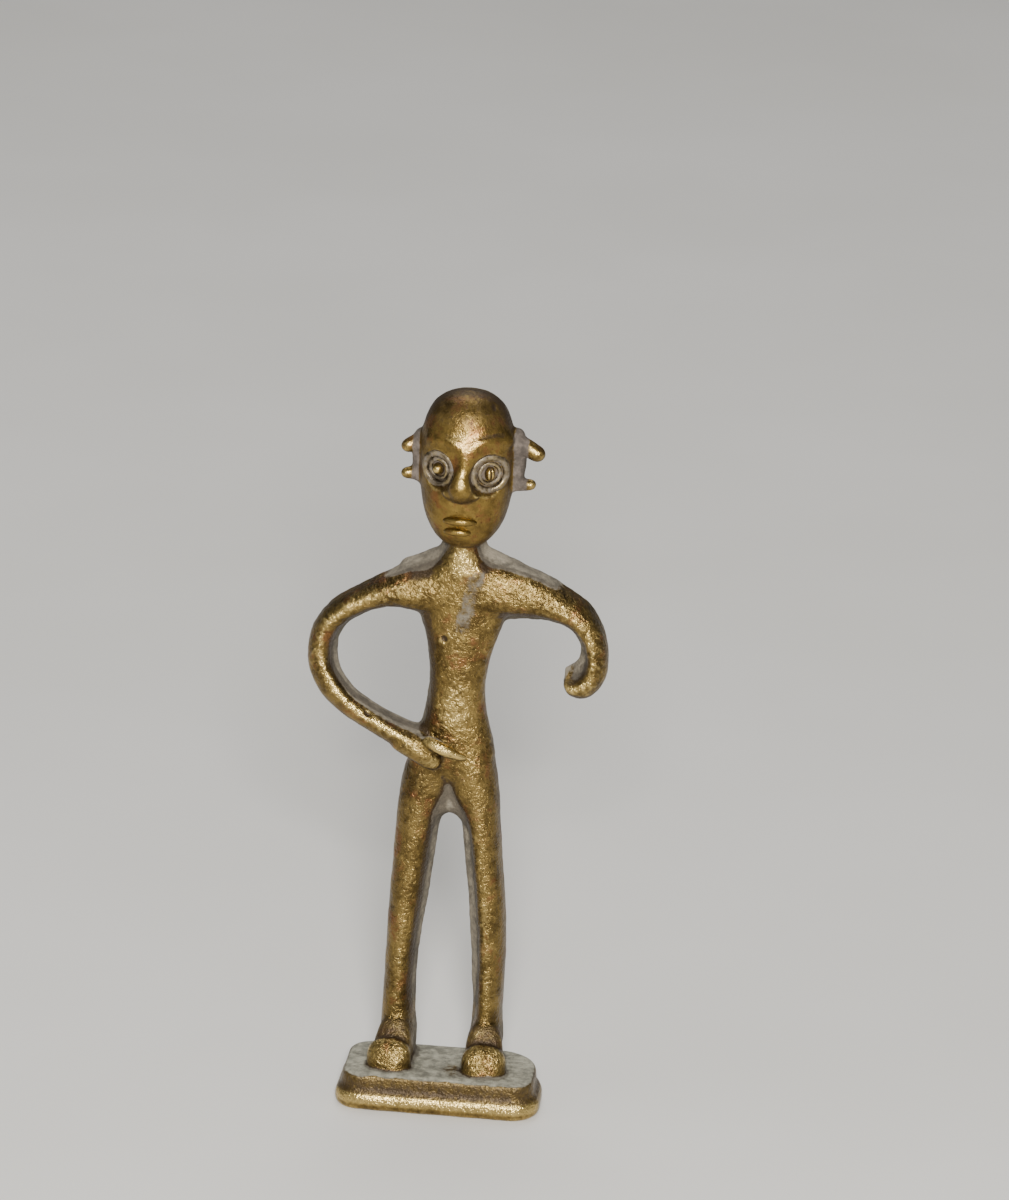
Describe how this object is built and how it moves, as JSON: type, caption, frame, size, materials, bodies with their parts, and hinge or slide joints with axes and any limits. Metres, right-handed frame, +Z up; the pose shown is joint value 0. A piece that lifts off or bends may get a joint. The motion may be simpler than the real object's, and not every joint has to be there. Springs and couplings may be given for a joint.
{
  "type": "souvenir figurine",
  "caption": "Small cast-brass standing figurine on an oblong base, its right arm bent in a loop with the hand on the belly, its left arm a short hook.",
  "frame": {"origin": "centre of the base's underside", "axes": "+Z up along the figure, the figure faces -Y, its own right side is at -X"},
  "size_m": [0.0318, 0.0122, 0.08],
  "materials": {
    "body_brass": "rough-cast, rubbed bright on the ridges, grey residue on the side walls",
    "head_brass": "smooth worn brass with red-brown patches",
    "face_brass": "polished high points",
    "eye_ring_brass": "worn threads with grey residue in the grooves",
    "base_brass": "dark brown with a polished lip and chalky grey top"
  },
  "bodies": {
    "root": {"base_plate": "base_brass", "right_foot": "body_brass", "left_foot": "body_brass", "right_leg": "body_brass", "left_leg": "body_brass", "hips": "body_brass", "torso": "body_brass", "neck": "body_brass", "right_upper_arm": "body_brass", "right_forearm": "body_brass", "right_hand": "body_brass", "right_finger": "body_brass", "left_upper_arm": "body_brass", "left_stump": "body_brass", "head": "head_brass", "nose": "face_brass", "upper_lip": "face_brass", "lower_lip": "face_brass", "right_eye_outer_ring": "eye_ring_brass", "left_eye_outer_ring": "eye_ring_brass", "right_eye_inner_ring": "eye_ring_brass", "left_eye_inner_ring": "eye_ring_brass", "right_eye_pellet": "face_brass", "left_eye_pellet": "face_brass", "right_ear": "head_brass", "left_ear": "head_brass"}
  },
  "joints": []
}
